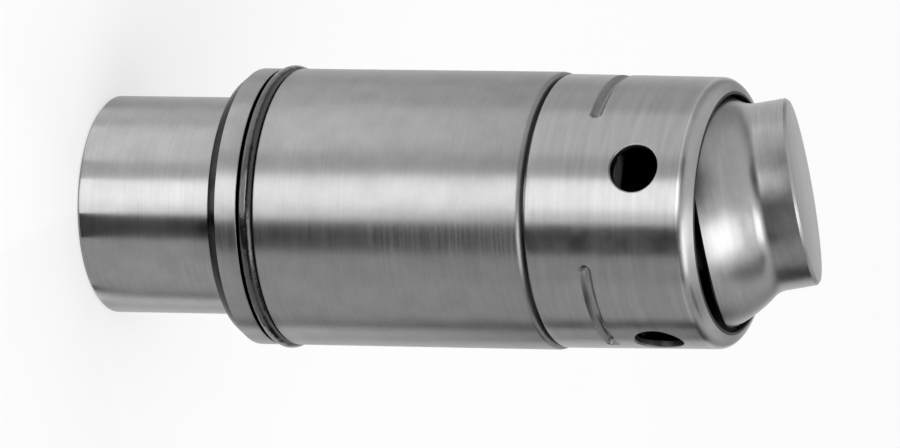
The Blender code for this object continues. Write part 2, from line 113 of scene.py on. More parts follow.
# Sheet steel cap
CAP_SHEET = 0.42 * MM
CAP_EDGE_R = 8.86 * MM
CAP_EDGE_Z = 31.67 * MM
CAP_EDGE_ROUND = 0.12 * MM
CAP_SHOULDER_R = 8.78 * MM
CAP_SHOULDER_Z = 41.952 * MM
CAP_BEND_R = 0.73 * MM
CAP_BEND_ANGLE = radians(66)
CAP_RIM_R = 7.67 * MM
CAP_RIM_LOW_Z = 42.46 * MM
CAP_RIM_TOP_Z = 42.92 * MM
# Width of the band on the rim's inner edge that is painted dark: a painted shadow where the rim
# meets the foot
CAP_RIM_PAINTED_SHADE = 0.22 * MM
CAP_HOLES = 4
CAP_HOLE_Z = 38.90 * MM
CAP_HOLE_R = 1.60 * MM
CAP_HOLE_ROUND = 0.10 * MM
CAP_TAPER_AT_HOLES = 0.023 * MM
BEAD_Z = 35.57 * MM
BEAD_WIDTH = 0.84 * MM
BEAD_DEPTH = 0.38 * MM
BEAD_ANGLES = (radians(-21), radians(99), radians(219))
BEAD_HALF_ANGLE = radians(24)
# Powers that give the bead's rounded section: of the way across it, and of its depth there
BEAD_ACROSS_POWER = 2.4
BEAD_DEPTH_POWER = 1.2

# Swivelling foot in its own frame, with its axis upright and the ball's centre at the origin
FOOT_DOME_R = 8.20 * MM
SOCKET_R = 5.32 * MM
FOOT_EDGE_HEIGHT = 1.80 * MM
FOOT_EDGE_CHAMFER = 0.15 * MM
PAD_R = 6.12 * MM
PAD_FACE_HEIGHT = 8.15 * MM
PAD_CHAMFER = 0.18 * MM
PAD_FILLET_R = 1.50 * MM
FOOT_TILT = radians(16.9974)
FOOT_TILT_TOWARDS = radians(147.7)

FOOT_TIP_AXIS = Vector((-sin(FOOT_TILT_TOWARDS), cos(FOOT_TILT_TOWARDS), 0.0))
FOOT_PLACE = (Matrix.Translation((0.0, 0.0, PIVOT_Z))
              @ Matrix.Rotation(FOOT_TILT, 4, FOOT_TIP_AXIS))

# Edges are broken by this much, so that they catch the light
EDGE_ROUND = 0.05 * MM
EDGE_SEGMENTS = 4

# The grinding wheel reaches this far past the edge of a land
GROUND_DEPTH = 0.03 * MM

# Patterns of the finishes, in real sizes. Grinding and drawing lines are really 0.02 to
# 0.05 mm apart, finer than a pixel of the render, so each steel gives its own coarser spacing.
LINE_LENGTH = 5 * MM
MOTTLE_SIZE = 1.6 * MM
STAIN_SIZE = 0.8 * MM
RUBBER_GRAIN = 0.15 * MM
RUBBER_GRAIN_DEPTH = 0.01 * MM
RUBBER_WAVE = 0.9 * MM
RUBBER_WAVE_DEPTH = 0.12 * MM
# Lines deeper than this scatter the sheen themselves
DEEP_LINE = 0.001 * MM

# Camera of the photograph. The lifter stands on its plunger and the camera is turned on
# its side, so that the lifter lies across the picture.
VIEW_AZIMUTH = radians(18.7)
VIEW_ELEVATION = radians(20.5)
VIEW_ROLL = radians(0.9)
VIEW_DISTANCE = 871 * MM
VIEW_TARGET_Z = 23.32 * MM
VIEW_TARGET_UP = -0.98 * MM
VIEW_LENS = 536.5

# Light panels and black cards that lie round the lifter. Each has two edges: the line along
# the round steel that shows it, in degrees from the line nearest the camera, and the way it
# runs off on the floor. Then come its length and a panel's strength.
BRIGHT_EDGE = (-5.2, -11.6)
DARK_EDGE = (-18.5, -37.8)
LOW_EDGE = (-52.0, -119.0)
LIGHT_PANELS = ((BRIGHT_EDGE, (13.3, 26.6), 300 * MM, 2.85),
                ((13.3, 26.6), (23.5, 47.0), 300 * MM, 1.35),
                ((23.5, 47.0), (46.0, 92.0), 200 * MM, 2.0),
                ((46.0, 92.0), (62.0, 124.0), 110 * MM, 1.35),
                (LOW_EDGE, (-61.0, -133.0), 150 * MM, 1.6),
                ((-61.0, -133.0), (-80.0, -160.0), 150 * MM, 0.9))
BLACK_CARDS = ((BRIGHT_EDGE, DARK_EDGE, 300 * MM), ((-48.0, -110.5), LOW_EDGE, 200 * MM))

# Black cards that stand or hang: two azimuths in degrees, distance, lower and upper edge
UPRIGHT_CARDS = (((-2, -60), 300 * MM, (0, 160 * MM)),
                 ((-99, -131), 120 * MM, (0, 65 * MM)),
                 ((2, 50), 300 * MM, (80 * MM, 270 * MM)),
                 ((-84, -142), 250 * MM, (225 * MM, 364 * MM)))

# Soft boxes: azimuths and elevations in degrees, radiance, distance
SOFT_BOXES = (("low_strip", (0, 26), (-3.3, 0.0), 24.0, 400 * MM),
              ("high_box", (-67, -12), (39, 70), 2.9, 500 * MM),
              ("top_box", (-175, -95), (72, 90), 3.2, 500 * MM))

# The lying cards float this much above the floor
CARD_LIFT = 0.05 * MM

FLOOR_R = 3.0
# Share of plain white in the floor as the camera and the reflections see it
FLOOR_WHITE_SHARE = 0.6


# Shapes

def wire(bm, points):
    """Open wire through (radius, height) points in the XZ plane.

    A point's third value is the radius that rounds its corner.
    """
    verts = [bm.verts.new((r, 0.0, z)) for r, z, *_ in points]
    for first, second in zip(verts, verts[1:]):
        bm.edges.new((first, second))
    for corner, (_, _, *rounds) in zip(verts, points):
        for radius in rounds:
            before, after = (edge.other_vert(corner).co - corner.co
                             for edge in corner.link_edges)
            bmesh.ops.bevel(bm, geom=[corner], affect="VERTICES",
                            offset=radius / tan(before.angle(after) / 2),
                            offset_type="OFFSET", segments=EDGE_SEGMENTS, profile=0.5,
                            material=-1)


def wire_arc(bm, centre, start, angle, steps):
    """Arc in the XZ plane that runs from a (radius, height) start towards +Z."""
    vert = bm.verts.new((start[0], 0.0, start[1]))
    bmesh.ops.spin(bm, geom=[vert], cent=(centre[0], 0, centre[1]), axis=(0, 1, 0),
                   angle=-angle, steps=steps)


def turn(bm):
    """Spin the wire about Z into one closed skin."""
    bmesh.ops.remove_doubles(bm, verts=bm.verts, dist=SAME_POINT)
    bmesh.ops.spin(bm, geom=bm.verts[:] + bm.edges[:], cent=(0, 0, 0), axis=(0, 0, 1),
                   angle=2 * pi, steps=TURNED_STEPS, use_merge=True)
    bmesh.ops.remove_doubles(bm, verts=bm.verts, dist=SAME_POINT)
    bmesh.ops.recalc_face_normals(bm, faces=bm.faces)


def finish_piece(name, bm, body, node, materials, finish_of=None):
    """Make the mesh an object at the origin that stands for a CAD node and rides on its body.

    finish_of gives the place of a face's material in the list, from its centre and normal.
    """
    if finish_of is not None:
        for face in bm.faces:
            face.material_index = finish_of(face.calc_center_median(), face.normal)
    mesh = bpy.data.meshes.new(name)
    bm.to_mesh(mesh)
    bm.free()
    mesh.shade_smooth()
    mesh.set_sharp_from_angle(angle=SHARP_ANGLE)
    for material in materials:
        mesh.materials.append(material)
    piece = bpy.data.objects.new(name, mesh)
    bpy.context.scene.collection.objects.link(piece)
    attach(piece, body)
    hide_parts(node)
    return piece


def housing(ground, skin):
    ball_base_r = sqrt(BALL_R ** 2 - (PIVOT_Z - SPIGOT_END_Z) ** 2)
    bm = bmesh.new()
    wire(bm, [
        (0.0, BORE_END_Z),
        (BORE_R, BORE_END_Z, BORE_CORNER),
        (BORE_R, RING_GROOVE_END_Z),
        (RING_GROOVE_R, RING_GROOVE_END_Z),
        (RING_GROOVE_R, RING_GROOVE_Z),
        (BORE_R, RING_GROOVE_Z),
        (BORE_R, MOUTH_Z + MOUTH_CHAMFER),
        (BORE_R + MOUTH_CHAMFER, MOUTH_Z, EDGE_ROUND),
        (HOUSING_R - LIP_CHAMFER_DEPTH, MOUTH_Z, EDGE_ROUND),
        (HOUSING_R, MOUTH_Z + LIP_CHAMFER_LENGTH, EDGE_ROUND),
        (HOUSING_R, ORING_GROOVE_Z, EDGE_ROUND),
        (ORING_FLOOR_R, ORING_GROOVE_Z),
        (ORING_FLOOR_R, ORING_GROOVE_END_Z),
        (HOUSING_R, ORING_GROOVE_END_Z, ORING_GROOVE_ROUND),
        (HOUSING_R, SHOULDER_Z, SHOULDER_ROUND),
        (SPIGOT_R, SHOULDER_Z),
        (SPIGOT_R, CAP_EDGE_Z),
        (SPIGOT_R, BEAD_Z - BEAD_GROOVE_MOUTH_HALF),
        (BEAD_GROOVE_R, BEAD_Z - BEAD_GROOVE_HALF),
        (BEAD_GROOVE_R, BEAD_Z + BEAD_GROOVE_HALF),
        (SPIGOT_R, BEAD_Z + BEAD_GROOVE_MOUTH_HALF),
        (SPIGOT_R, SPIGOT_END_Z - SPIGOT_CHAMFER, EDGE_ROUND),
        (SPIGOT_R - SPIGOT_CHAMFER, SPIGOT_END_Z, EDGE_ROUND),
        (ball_base_r, SPIGOT_END_Z),
    ])
    wire_arc(bm, (0.0, PIVOT_Z), (ball_base_r, SPIGOT_END_Z),
             pi / 2 + asin((PIVOT_Z - SPIGOT_END_Z) / BALL_R), BALL_STEPS)
    turn(bm)

    def finish_of(centre, normal):
        """Ground: the land, the shoulder and the round that leads down to the O-ring."""
        radius = centre.xy.length
        if SHOULDER_Z - SHOULDER_ROUND < centre.z < CAP_EDGE_Z and radius > BORE_R:
            return 0
        if centre.z > ORING_GROOVE_END_Z and radius > HOUSING_R - 0.9 * ORING_GROOVE_ROUND:
            return 0
        # The rest takes the dark skin, which is also painted shade on the lip's chamfer, in the
        # O-ring's groove and through the cap's holes.
        return int(radius < HOUSING_R - GROUND_DEPTH)

    finish_piece("housing_turned", bm, "housing", "housing", [ground, skin],
                 finish_of)


def outer_plunger(ground, skin):
    bm = bmesh.new()
    wire(bm, [
        (INLET_R + INLET_CHAMFER, 0.0),
        (PLUNGER_R - PLUNGER_CHAMFER, 0.0, EDGE_ROUND),
        (PLUNGER_R, PLUNGER_CHAMFER, EDGE_ROUND),
        (PLUNGER_R, PLUNGER_WAIST_Z),
        (PLUNGER_WAIST_R, PLUNGER_WAIST_Z),
        (PLUNGER_WAIST_R, PLUNGER_WAIST_END_Z),
        (PLUNGER_R, PLUNGER_WAIST_END_Z),
        (PLUNGER_R, OUTER_PLUNGER_END_Z),
        (RESERVOIR_R, OUTER_PLUNGER_END_Z),
        (RESERVOIR_R, OUTER_PLUNGER_FLOOR, RESERVOIR_CORNER),
        (INLET_R, OUTER_PLUNGER_FLOOR),
        (INLET_R, INLET_CHAMFER, EDGE_ROUND),
        (INLET_R + INLET_CHAMFER, 0.0),
    ])
    turn(bm)

    def finish_of(centre, normal):
        """Ground: the outside and the end that is seen. The waist and the inside are dark."""
        return int(centre.xy.length < PLUNGER_R - GROUND_DEPTH and centre.z > PLUNGER_CHAMFER)

    finish_piece("outer_plunger_turned", bm, "plunger", "outer_plunger",
                 [ground, skin], finish_of)


def o_ring(rubber):
    bm = bmesh.new()
    start = (ORING_R + ORING_SECTION_R, ORING_Z)
    wire_arc(bm, (ORING_R, ORING_Z), start, 2 * pi, RING_SECTION_STEPS)
    turn(bm)
    finish_piece("o_ring_moulded", bm, "housing", "o_ring", [rubber])


def cap_strip():
    """The cap's section drawn out straight: x runs round the cap and y is the radius.

    The rows of faces up its wall lie closest where the beads and the holes are.
    """
    bend_r = CAP_SHOULDER_R - CAP_BEND_R
    heights = [CAP_EDGE_Z]
    for rows, top in ((7, BEAD_Z - 0.75 * BEAD_WIDTH), (24, BEAD_Z + 0.75 * BEAD_WIDTH),
                      (3, CAP_HOLE_Z - 1.3 * CAP_HOLE_R), (16, CAP_HOLE_Z + 1.3 * CAP_HOLE_R),
                      (2, CAP_SHOULDER_Z)):
        start = heights[-1]
        heights += [start + (top - start) * (i + 1) / rows for i in range(rows)]
    bm = bmesh.new()
    sheet_sides = []
    for depth, edge_round, rim_z in ((0.0, CAP_EDGE_ROUND, CAP_RIM_TOP_Z),
                                     (CAP_SHEET, EDGE_ROUND, CAP_RIM_LOW_Z)):
        wall = []
        for z in heights:
            share = (z - CAP_EDGE_Z) / (CAP_SHOULDER_Z - CAP_EDGE_Z)
            wall_r = CAP_EDGE_R + (CAP_SHOULDER_R - CAP_EDGE_R) * share
            wall.append(bm.verts.new((0.0, wall_r - depth, z)))
        for first, second in zip(wall, wall[1:]):
            bm.edges.new((first, second))
        bent = bmesh.ops.spin(bm, geom=[wall[-1]], cent=(0, bend_r, CAP_SHOULDER_Z),
                              axis=(1, 0, 0), angle=CAP_BEND_ANGLE, steps=CAP_BEND_STEPS)
        rim = bm.verts.new((0.0, CAP_RIM_R, rim_z))
        turned_in = bm.edges.new((bent["geom_last"][0], rim))
        # The split marks off the band at the rim's edge that carries the painted shadow
        bmesh.utils.edge_split(turned_in, rim, CAP_RIM_PAINTED_SHADE / turned_in.calc_length())
        sheet_sides.append((wall[0], edge_round, rim))
    (outer_edge, outer_round, outer_rim), (inner_edge, inner_round, inner_rim) = sheet_sides
    bm.edges.new((outer_edge, inner_edge))
    bm.edges.new((outer_rim, inner_rim))
    for corner, reach in ((outer_edge, outer_round), (inner_edge, inner_round),
                          (outer_rim, 2 * EDGE_ROUND), (inner_rim, EDGE_ROUND)):
        bmesh.ops.bevel(bm, geom=[corner], affect="VERTICES", offset=reach,
                        offset_type="OFFSET", segments=EDGE_SEGMENTS, profile=0.5,
                        material=-1)
    section = bm.verts[:] + bm.edges[:]
    first_end = bm.edges[:]
    step = 2 * pi * CAP_SHOULDER_R / CAP_STEPS
    drawn = bmesh.ops.spin(bm, geom=section, cent=(0, 0, 0), axis=(1, 0, 0),
                           dvec=(step, 0, 0), angle=0.0, steps=CAP_STEPS)
    last_end = [part for part in drawn["geom_last"] if isinstance(part, bmesh.types.BMEdge)]
    for end in (first_end, last_end):
        bmesh.ops.contextual_create(bm, geom=end)
    bmesh.ops.recalc_face_normals(bm, faces=bm.faces)
    return bm


def hole_cutter(x):
    """Peg through the straight wall at x, flared where the sheet's outer edge is rounded."""
    wall_r = CAP_SHOULDER_R + CAP_TAPER_AT_HOLES
    bm = bmesh.new()
    low = bm.verts.new((CAP_HOLE_R, 0.0, wall_r - 3 * CAP_SHEET))
    start = bm.verts.new((CAP_HOLE_R, 0.0, wall_r - CAP_HOLE_ROUND))
    bm.edges.new((low, start))
    flare = bmesh.ops.spin(bm, geom=[start], cent=(CAP_HOLE_R + CAP_HOLE_ROUND, 0,
                                                   wall_r - CAP_HOLE_ROUND),
                           axis=(0, 1, 0), angle=pi / 2, steps=HOLE_FLARE_STEPS)
    wide = bm.verts.new((CAP_HOLE_R + CAP_HOLE_ROUND, 0.0, wall_r + CAP_SHEET))
    bm.edges.new((flare["geom_last"][0], wide))
    axis_low = bm.verts.new((0.0, 0.0, low.co.z))
    axis_high = bm.verts.new((0.0, 0.0, wide.co.z))
    bm.edges.new((axis_low, low))
    bm.edges.new((wide, axis_high))
    bmesh.ops.spin(bm, geom=bm.verts[:] + bm.edges[:], cent=(0, 0, 0), axis=(0, 0, 1),
                   angle=2 * pi, steps=HOLE_STEPS, use_merge=True)
    bmesh.ops.remove_doubles(bm, verts=bm.verts, dist=SAME_POINT)
    bmesh.ops.recalc_face_normals(bm, faces=bm.faces)
    bmesh.ops.rotate(bm, verts=bm.verts, cent=(0, 0, 0), matrix=Matrix.Rotation(-pi / 2, 3, "X"))
    bmesh.ops.translate(bm, verts=bm.verts, vec=(x, 0.0, CAP_HOLE_Z))
    return bm


def cap(drawn, skin, bend_highlight):
    """Holes are cut in the straight strip, then it is rolled round and the beads pressed in."""
    round_length = 2 * pi * CAP_SHOULDER_R
    strip_mesh = bpy.data.meshes.new("cap_strip")
    bm = cap_strip()
    bm.to_mesh(strip_mesh)
    bm.free()
    strip = bpy.data.objects.new("cap_strip", strip_mesh)
    bpy.context.scene.collection.objects.link(strip)
    scratch = [strip]
    for i in range(CAP_HOLES):
        cutter_mesh = bpy.data.meshes.new("cap_hole")
        bm = hole_cutter(round_length * (i + 0.5) / CAP_HOLES)
        bm.to_mesh(cutter_mesh)
        bm.free()
        cutter = bpy.data.objects.new("cap_hole", cutter_mesh)
        bpy.context.scene.collection.objects.link(cutter)
        scratch.append(cutter)
        boolean = strip.modifiers.new("hole", "BOOLEAN")
        boolean.operation = "DIFFERENCE"
        boolean.solver = "EXACT"
        boolean.object = cutter
    bpy.context.view_layer.update()
    evaluated = strip.evaluated_get(bpy.context.evaluated_depsgraph_get())
    bm = bmesh.new()
    bm.from_mesh(evaluated.to_mesh())
    evaluated.to_mesh_clear()
    for obj in scratch:
        bpy.data.objects.remove(obj, do_unlink=True)

    ends = [face for face in bm.faces if abs(face.normal.x) > 0.99
            and min(face.calc_center_median().x,
                    round_length - face.calc_center_median().x) < EDGE_ROUND]
    bmesh.ops.delete(bm, geom=ends, context="FACES_ONLY")
    for vert in bm.verts:
        angle = 2 * pi * vert.co.x / round_length - pi / CAP_HOLES
        radius = vert.co.y
        for centre in BEAD_ANGLES:
            from_centre = abs((angle - centre + pi) % (2 * pi) - pi)
            beyond = max(from_centre - BEAD_HALF_ANGLE, 0.0) * CAP_EDGE_R
            across = sqrt(beyond ** 2 + (vert.co.z - BEAD_Z) ** 2) / (BEAD_WIDTH / 2)
            if across < 1.0:
                radius -= BEAD_DEPTH * (1.0 - across ** BEAD_ACROSS_POWER) ** BEAD_DEPTH_POWER
        vert.co = Vector((radius * cos(angle), radius * sin(angle), vert.co.z))
    bmesh.ops.remove_doubles(bm, verts=bm.verts, dist=SAME_POINT)
    bmesh.ops.recalc_face_normals(bm, faces=bm.faces)

    def finish_of(centre, normal):
        """Drawn outside, the bend lightened as a painted highlight, and dark skin inside, in the
        holes and at the rim, where it is also painted shade.
        """
        if centre.z > CAP_SHOULDER_Z:
            # The bend's underside and the band at the rim's edge take the dark skin; the band is a
            # painted shadow where the rim meets the foot
            return 1 if normal.z < -0.3 or centre.xy.length < CAP_RIM_R + CAP_RIM_PAINTED_SHADE else 2
        # The inside and the holes' walls take the dark skin, which is also painted shade in the
        # holes.
        return int(normal.xy.dot(centre.xy.normalized()) < 0.3)

    finish_piece("cap_pressed", bm, "cap", "retaining_cap",
                 [drawn, skin, bend_highlight], finish_of)


def foot(polished, skin):
    fillet_height = sqrt((FOOT_DOME_R + PAD_FILLET_R) ** 2 - (PAD_R + PAD_FILLET_R) ** 2)
    fillet_angle = atan2(fillet_height, PAD_R + PAD_FILLET_R)
    edge_angle = asin(FOOT_EDGE_HEIGHT / FOOT_DOME_R) + FOOT_EDGE_CHAMFER / FOOT_DOME_R
    edge_r = sqrt(FOOT_DOME_R ** 2 - FOOT_EDGE_HEIGHT ** 2)
    socket_edge = (sqrt(SOCKET_R ** 2 - FOOT_EDGE_HEIGHT ** 2), FOOT_EDGE_HEIGHT)
    dome_end = (FOOT_DOME_R * cos(edge_angle), FOOT_DOME_R * sin(edge_angle))
    bm = bmesh.new()
    wire(bm, [
        (0.0, PAD_FACE_HEIGHT),
        (PAD_R - PAD_CHAMFER, PAD_FACE_HEIGHT, EDGE_ROUND),
        (PAD_R, PAD_FACE_HEIGHT - PAD_CHAMFER, EDGE_ROUND),
        (PAD_R, fillet_height),
    ])
    wire_arc(bm, (PAD_R + PAD_FILLET_R, fillet_height), (PAD_R, fillet_height),
             fillet_angle, PAD_FILLET_STEPS)
    wire_arc(bm, (0.0, 0.0), dome_end, fillet_angle - edge_angle, DOME_STEPS)
    wire(bm, [
        dome_end,
        (edge_r - FOOT_EDGE_CHAMFER, FOOT_EDGE_HEIGHT, EDGE_ROUND),
        socket_edge,
    ])
    wire_arc(bm, (0.0, 0.0), socket_edge, pi / 2 - asin(FOOT_EDGE_HEIGHT / SOCKET_R),
             SOCKET_STEPS)
    turn(bm)
    bmesh.ops.transform(bm, matrix=FOOT_PLACE, verts=bm.verts)
    down = -FOOT_PLACE.col[2].xyz

    def finish_of(centre, normal):
        """Polished, apart from the socket and the edge round it, which face down."""
        # The dark skin there is also painted shade under the foot.
        return int(normal.dot(down) > 0.5)

    finish_piece("swivel_foot_turned", bm, "foot", "swivel_foot",
                 [polished, skin], finish_of)


def coil_spring(node, body, steel):
    """The CAD's spring, with its doubled points merged, as a piece of its own with its own mesh.
    """
    bm = bmesh.new()
    bm.from_mesh(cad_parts[node].data)
    bmesh.ops.remove_doubles(bm, verts=bm.verts, dist=SAME_POINT)
    spring = finish_piece(node + "_wound", bm, body, node, [steel])
    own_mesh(spring)


# Materials

def linear(code):
    """Linear colour of an sRGB hex code."""
    parts = [int(code[i:i + 2], 16) / 255 for i in (1, 3, 5)]
    return (*(c / 12.92 if c <= 0.04045 else ((c + 0.055) / 1.055) ** 2.4 for c in parts), 1.0)


def add(tree, kind, inputs=None, **settings):
    """Add a node. Each input takes a value, or a socket to link."""
    node = tree.nodes.new(kind)
    for name, value in settings.items():
        setattr(node, name, value)
    for key, value in (inputs or {}).items():
        if isinstance(value, bpy.types.NodeSocket):
            tree.links.new(value, node.inputs[key])
        else:
            node.inputs[key].default_value = value
    return node


def new_material(name):
    material = bpy.data.materials.new(name)
    material.use_nodes = True
    return material, material.node_tree, material.node_tree.nodes["Principled BSDF"]


def turned_steel(name, light, dark, smooth, rough, line_width, line_depth, anisotropy,
                 place=None):
    """Steel turned and ground round its axis.

    The grinding lines run round the piece, so a reflection is drawn out along the axis
    and stays sharp across it. The metal is a little mottled. The sheen differs from line to
    line where they are deep, and otherwise with the mottle, which frays the reflections.
    place is where a piece that was turned about a tilted axis stands.
    """
    material, tree, shader = new_material(name)
    coords = add(tree, "ShaderNodeTexCoord").outputs["Object"]
    if place is not None:
        coords = add(tree, "ShaderNodeMapping", {
            "Vector": coords, "Location": place.translation, "Rotation": place.to_euler(),
        }, vector_type="TEXTURE").outputs["Vector"]
    split = add(tree, "ShaderNodeSeparateXYZ", {"Vector": coords})
    flat = add(tree, "ShaderNodeVectorMath", {0: coords, 1: (1.0, 1.0, 0.0)}, operation="MULTIPLY")
    radius = add(tree, "ShaderNodeVectorMath", {0: flat.outputs[0]}, operation="LENGTH")
    along = add(tree, "ShaderNodeMath", {0: split.outputs["Z"], 1: radius.outputs["Value"]},
                operation="ADD")
    line_place = add(tree, "ShaderNodeMath", {0: along.outputs[0], 1: 1 / line_width},
                     operation="MULTIPLY")
    round_place = add(tree, "ShaderNodeVectorMath", {0: flat.outputs[0], "Scale": 1 / LINE_LENGTH},
                      operation="SCALE")
    round_split = add(tree, "ShaderNodeSeparateXYZ", {"Vector": round_place.outputs[0]})
    line_vector = add(tree, "ShaderNodeCombineXYZ", {
        "X": round_split.outputs["X"], "Y": round_split.outputs["Y"], "Z": line_place.outputs[0]})
    lines = add(tree, "ShaderNodeTexNoise", {
        "Vector": line_vector.outputs[0], "Scale": 1.0, "Detail": 3.0, "Roughness": 0.6})
    mottle = add(tree, "ShaderNodeTexNoise", {
        "Vector": coords, "Scale": 1 / MOTTLE_SIZE, "Detail": 5.0, "Roughness": 0.62})
    tone = add(tree, "ShaderNodeMath", {
        0: lines.outputs["Fac"], 1: mottle.outputs["Fac"]}, operation="ADD")
    tone_share = add(tree, "ShaderNodeMapRange", {
        "Value": tone.outputs[0], "From Min": 0.75, "From Max": 1.25})
    colour = add(tree, "ShaderNodeMix", {
        "Factor": tone_share.outputs[0], 6: linear(dark), 7: linear(light)}, data_type="RGBA")
    sheen = lines if line_depth > DEEP_LINE else mottle
    roughness = add(tree, "ShaderNodeMapRange", {
        "Value": sheen.outputs["Fac"], "From Min": 0.3, "From Max": 0.7,
        "To Min": smooth, "To Max": rough})
    bump = add(tree, "ShaderNodeBump", {
        "Height": lines.outputs["Fac"], "Strength": 0.25, "Distance": line_depth})
    tree.links.new(colour.outputs[2], shader.inputs["Base Color"])
    tree.links.new(roughness.outputs[0], shader.inputs["Roughness"])
    tree.links.new(bump.outputs[0], shader.inputs["Normal"])
    shader.inputs["Metallic"].default_value = 1.0
    if anisotropy > 0.0:
        round_way = add(tree, "ShaderNodeVectorMath", {0: (0.0, 0.0, 1.0), 1: coords},
                        operation="CROSS_PRODUCT")
        tangent = add(tree, "ShaderNodeVectorTransform", {"Vector": round_way.outputs[0]},
                      vector_type="VECTOR", convert_from="OBJECT", convert_to="WORLD")
        tree.links.new(tangent.outputs[0], shader.inputs["Tangent"])
        shader.inputs["Anisotropic"].default_value = anisotropy
        shader.inputs["Anisotropic Rotation"].default_value = 0.25
    return material


def moulded_rubber():
    """Black nitrile rubber of the O-ring, moulded and wetted with oil.

    It gives the eye a deep black with small sharp highlights, which its slightly wavy skin
    breaks up. Its grain is really about 0.02 mm, which can't show, and is drawn coarser.
    """
    material, tree, shader = new_material("nitrile_rubber_black")
    coords = add(tree, "ShaderNodeTexCoord").outputs["Object"]
    grain = add(tree, "ShaderNodeTexNoise", {
        "Vector": coords, "Scale": 1 / RUBBER_GRAIN, "Detail": 3.0})
    waves = add(tree, "ShaderNodeTexNoise", {
        "Vector": coords, "Scale": 1 / RUBBER_WAVE, "Detail": 3.0})
    colour = add(tree, "ShaderNodeMix", {
        "Factor": waves.outputs["Fac"], 6: linear("#0A0A0B"), 7: linear("#1A1A1B")},
        data_type="RGBA")
    roughness = add(tree, "ShaderNodeMapRange", {
        "Value": waves.outputs["Fac"], "From Min": 0.3, "From Max": 0.7,
        "To Min": 0.12, "To Max": 0.26})
    uneven = add(tree, "ShaderNodeBump", {
        "Height": waves.outputs["Fac"], "Strength": 0.6, "Distance": RUBBER_WAVE_DEPTH})
    bump = add(tree, "ShaderNodeBump", {
        "Height": grain.outputs["Fac"], "Strength": 0.3, "Distance": RUBBER_GRAIN_DEPTH,
        "Normal": uneven.outputs[0]})
    tree.links.new(colour.outputs[2], shader.inputs["Base Color"])
    tree.links.new(roughness.outputs[0], shader.inputs["Roughness"])
    tree.links.new(bump.outputs[0], shader.inputs["Normal"])
    shader.inputs["Specular IOR Level"].default_value = 0.7
    return material


def drawn_steel(name, light, dark, smooth, rough):
    """Drawn, pressed or hardened steel: an even soft sheen with fine cloudy stains."""
    material, tree, shader = new_material(name)
    coords = add(tree, "ShaderNodeTexCoord").outputs["Object"]
    stains = add(tree, "ShaderNodeTexNoise", {
        "Vector": coords, "Scale": 1 / STAIN_SIZE, "Detail": 5.0, "Roughness": 0.6})
    colour = add(tree, "ShaderNodeMix", {
        "Factor": stains.outputs["Fac"], 6: linear(dark), 7: linear(light)}, data_type="RGBA")
    roughness = add(tree, "ShaderNodeMapRange", {
        "Value": stains.outputs["Fac"], "From Min": 0.3, "From Max": 0.7,
        "To Min": smooth, "To Max": rough})
    tree.links.new(colour.outputs[2], shader.inputs["Base Color"])
    tree.links.new(roughness.outputs[0], shader.inputs["Roughness"])
    shader.inputs["Metallic"].default_value = 1.0
    return material


# Studio

def camera_frame():
    """Right, up and back axes of the camera, and its place."""
    back = Vector((sin(VIEW_AZIMUTH) * cos(VIEW_ELEVATION),
                   -cos(VIEW_AZIMUTH) * cos(VIEW_ELEVATION), sin(VIEW_ELEVATION)))
    across = (Vector((0, 0, 1)) - back.z * back).normalized()
    level = back.cross(across)
    right = cos(VIEW_ROLL) * across + sin(VIEW_ROLL) * level
    up = cos(VIEW_ROLL) * level - sin(VIEW_ROLL) * across
    place = Vector((0, 0, VIEW_TARGET_Z)) + up * VIEW_TARGET_UP + back * VIEW_DISTANCE
    return right, up, back, place


def towards(azimuth, elevation):
    """Direction from the lifter: azimuth from the camera's side to the picture's upper side."""
    near = Vector((sin(VIEW_AZIMUTH), -cos(VIEW_AZIMUTH), 0.0))
    above = Vector((-cos(VIEW_AZIMUTH), -sin(VIEW_AZIMUTH), 0.0))
    level = cos(azimuth) * near + sin(azimuth) * above
    return cos(elevation) * level + sin(elevation) * Vector((0, 0, 1))


def soft_box(name, azimuths, elevations, radiance, distance):
    """Lamp that spans these azimuths and elevations, in degrees, as the lifter sees it."""
    azimuth = radians(sum(azimuths) / 2)
    elevation = radians(sum(elevations) / 2)
    data = bpy.data.lights.new(name, "AREA")
    data.shape = "RECTANGLE"
    data.size = 2 * distance * tan(radians(azimuths[1] - azimuths[0]) / 2) * cos(elevation)
    data.size_y = 2 * distance * tan(radians(elevations[1] - elevations[0]) / 2)
    data.energy = radiance * pi * data.size * data.size_y
    lamp = bpy.data.objects.new(name, data)
    direction = towards(azimuth, elevation)
    lamp.location = Vector((0, 0, VIEW_TARGET_Z)) + direction * distance
    lamp.rotation_euler = direction.to_track_quat("Z", "Y").to_euler()
    lamp.visible_camera = False
    bpy.context.scene.collection.objects.link(lamp)


def lying_corners(edges, length):
    """Corners on the floor of a card that runs from the plunger's foot to this far out."""
    corners = []
    for angle, way in edges:
        near = towards(radians(angle), 0.0) * PLUNGER_R + Vector((0, 0, CARD_LIFT))
        corners.append((near, near + towards(radians(way), 0.0) * length))
    return corners[0][0], corners[0][1], corners[1][1], corners[1][0]


def upright_corners(azimuths, distance, heights):
    """Corners of a card that stands or hangs between two azimuths and two heights."""
    side_a, side_b = (towards(radians(azimuth), 0.0) * distance for azimuth in azimuths)
    low, high = (Vector((0, 0, height)) for height in heights)
    return side_a + low, side_a + high, side_b + high, side_b + low


def stage_card(name, material, corners):
    """Card or panel that only the lifter's reflections show."""
    bm = bmesh.new()
    bm.faces.new([bm.verts.new(corner) for corner in corners])
    mesh = bpy.data.meshes.new(name)
    bm.to_mesh(mesh)
    bm.free()
    mesh.materials.append(material)
    card = bpy.data.objects.new(name, mesh)
    bpy.context.scene.collection.objects.link(card)
    card.visible_camera = False
    card.visible_diffuse = False
    card.visible_shadow = False


